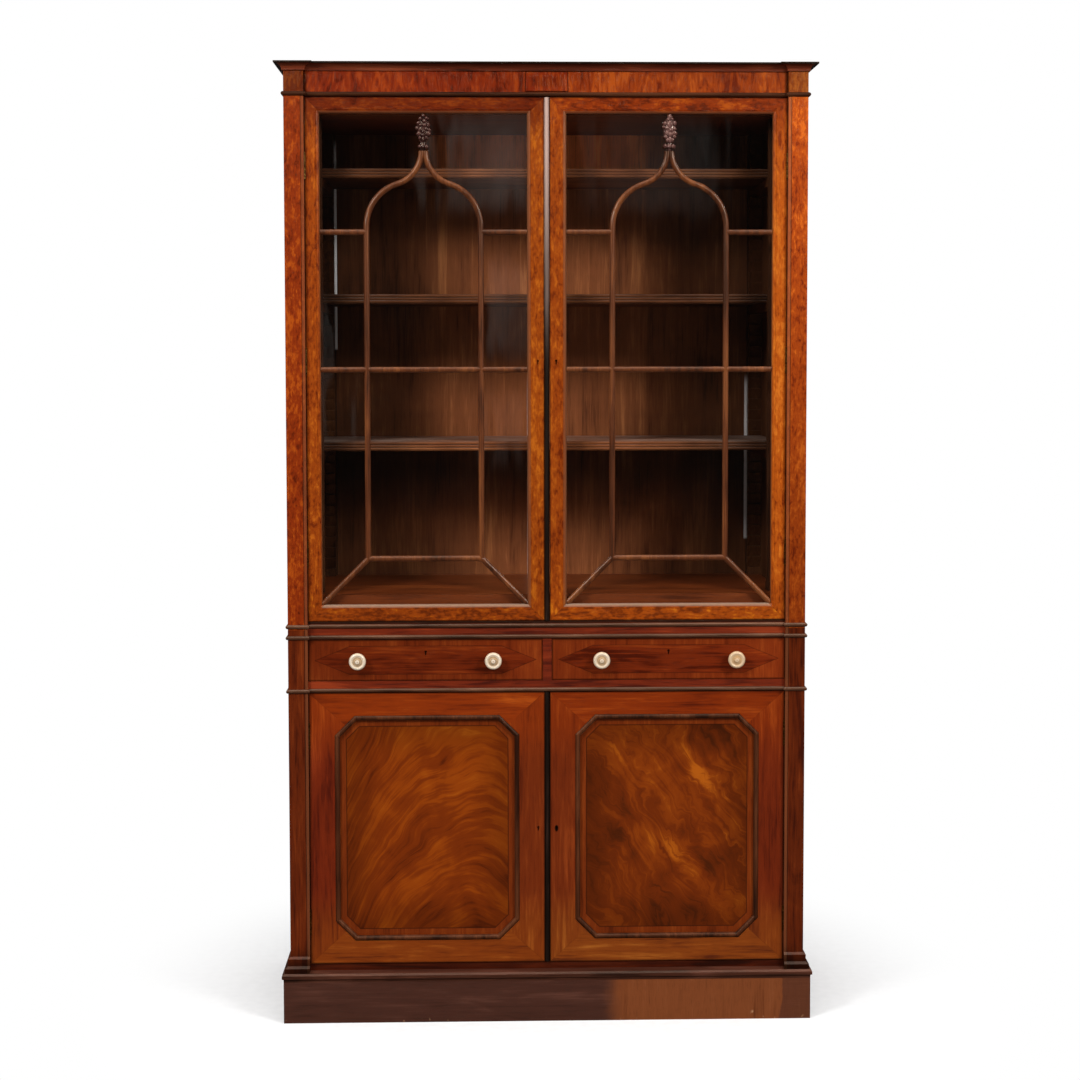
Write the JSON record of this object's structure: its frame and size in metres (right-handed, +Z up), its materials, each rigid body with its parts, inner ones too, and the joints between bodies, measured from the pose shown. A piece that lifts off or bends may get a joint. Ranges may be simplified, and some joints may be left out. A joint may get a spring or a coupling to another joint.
{
  "type": "library bookcase",
  "caption": "Two-stage mahogany library bookcase: glazed doors with ogee Gothic bars over frieze drawers and panelled cupboard doors.",
  "frame": {"origin": "middle of the outer box's footprint, on the floor under the plinth", "axes": "+X to the right as one faces the doors, +Y towards the back, +Z up"},
  "size_m": [1.314, 0.492, 2.35],
  "materials": {
    "mahogany": "french polished veneer",
    "flame_mahogany": "french polished flame veneer",
    "moulding_mahogany": "dark polished moulding",
    "plinth_mahogany": "worn polish",
    "bar_mahogany": "polished",
    "carved_mahogany": "carved and polished",
    "dark_bead": "dark polished bead",
    "interior_wood": "thin old polish",
    "brass": "aged",
    "bone": "turned and polished bone",
    "glass": "old sheet glass"
  },
  "bodies": {
    "case": {"base_back_boards": "interior_wood", "base_boards": "interior_wood", "base_pilasters": "mahogany", "base_side_panels": "mahogany", "bookshelves": "interior_wood", "case_hinge_leaves": "brass", "cornice": "moulding_mahogany", "cupboard_shelf": "interior_wood", "drawer_frame": "interior_wood", "drawer_guides": "interior_wood", "drawer_rail_bead": "moulding_mahogany", "frieze_bead": "moulding_mahogany", "frieze_rail": "mahogany", "frieze_tablet": "mahogany", "plinth_boards": "plinth_mahogany", "plinth_moulding": "moulding_mahogany", "shelf_bearers": "interior_wood", "shelf_cleats": "interior_wood", "shelf_racks": "interior_wood", "upper_back_boards": "interior_wood", "upper_boards": "interior_wood", "upper_pilasters": "mahogany", "upper_side_linings": "interior_wood", "upper_side_panels": "mahogany", "waist_beads": "moulding_mahogany"},
    "upper_left_door": {"upper_left_door_frame": "mahogany", "upper_left_glazing_bars": "bar_mahogany", "upper_left_panes": "glass", "upper_left_finial": "carved_mahogany", "upper_left_door_hinges": "brass", "upper_meeting_bead": "dark_bead"},
    "upper_right_door": {"upper_right_door_frame": "mahogany", "upper_right_glazing_bars": "bar_mahogany", "upper_right_panes": "glass", "upper_right_finial": "carved_mahogany", "upper_right_door_hinges": "brass", "upper_door_lock": "brass"},
    "lower_left_door": {"lower_left_door_frame": "mahogany", "lower_left_panel": "flame_mahogany", "lower_left_panel_moulding": "moulding_mahogany", "lower_left_door_hinges": "brass", "lower_meeting_bead": "dark_bead"},
    "lower_right_door": {"lower_right_door_frame": "mahogany", "lower_right_panel": "flame_mahogany", "lower_right_panel_moulding": "moulding_mahogany", "lower_right_door_hinges": "brass", "lower_door_lock": "brass"},
    "left_drawer": {"left_drawer_front": "mahogany", "left_drawer_box": "interior_wood", "left_drawer_knobs": "bone", "left_drawer_lock": "brass"},
    "right_drawer": {"right_drawer_front": "mahogany", "right_drawer_box": "interior_wood", "right_drawer_knobs": "bone", "right_drawer_lock": "brass"},
    "upper_door_bolt": {"upper_door_lock_bolt": "brass"},
    "lower_door_bolt": {"lower_door_lock_bolt": "brass"},
    "left_drawer_bolt": {"left_drawer_lock_bolt": "brass"},
    "right_drawer_bolt": {"right_drawer_lock_bolt": "brass"}
  },
  "joints": [
    {"name": "upper_left_door_hinge", "type": "hinge", "parent": "case", "child": "upper_left_door", "pos_m": [-0.58625, -0.216, 1.6305], "axis": [0, 0, -1], "range_deg": [0, 100]},
    {"name": "upper_right_door_hinge", "type": "hinge", "parent": "case", "child": "upper_right_door", "pos_m": [0.58625, -0.216, 1.6305], "axis": [0, 0, 1], "range_deg": [0, 100]},
    {"name": "lower_left_door_hinge", "type": "hinge", "parent": "case", "child": "lower_left_door", "pos_m": [-0.58625, -0.216, 0.4785], "axis": [0, 0, -1], "range_deg": [0, 100]},
    {"name": "lower_right_door_hinge", "type": "hinge", "parent": "case", "child": "lower_right_door", "pos_m": [0.58625, -0.216, 0.4785], "axis": [0, 0, 1], "range_deg": [0, 100]},
    {"name": "left_drawer_slide", "type": "slide", "parent": "case", "child": "left_drawer", "axis": [0, -1, 0], "range_m": [0, 0.3]},
    {"name": "right_drawer_slide", "type": "slide", "parent": "case", "child": "right_drawer", "axis": [0, -1, 0], "range_m": [0, 0.3]},
    {"name": "upper_door_bolt_slide", "type": "slide", "parent": "upper_right_door", "child": "upper_door_bolt", "axis": [-1, 0, 0], "range_m": [0, 0.008]},
    {"name": "lower_door_bolt_slide", "type": "slide", "parent": "lower_right_door", "child": "lower_door_bolt", "axis": [-1, 0, 0], "range_m": [0, 0.008]},
    {"name": "left_drawer_bolt_slide", "type": "slide", "parent": "left_drawer", "child": "left_drawer_bolt", "axis": [0, 0, 1], "range_m": [0, 0.006]},
    {"name": "right_drawer_bolt_slide", "type": "slide", "parent": "right_drawer", "child": "right_drawer_bolt", "axis": [0, 0, 1], "range_m": [0, 0.006]}
  ]
}
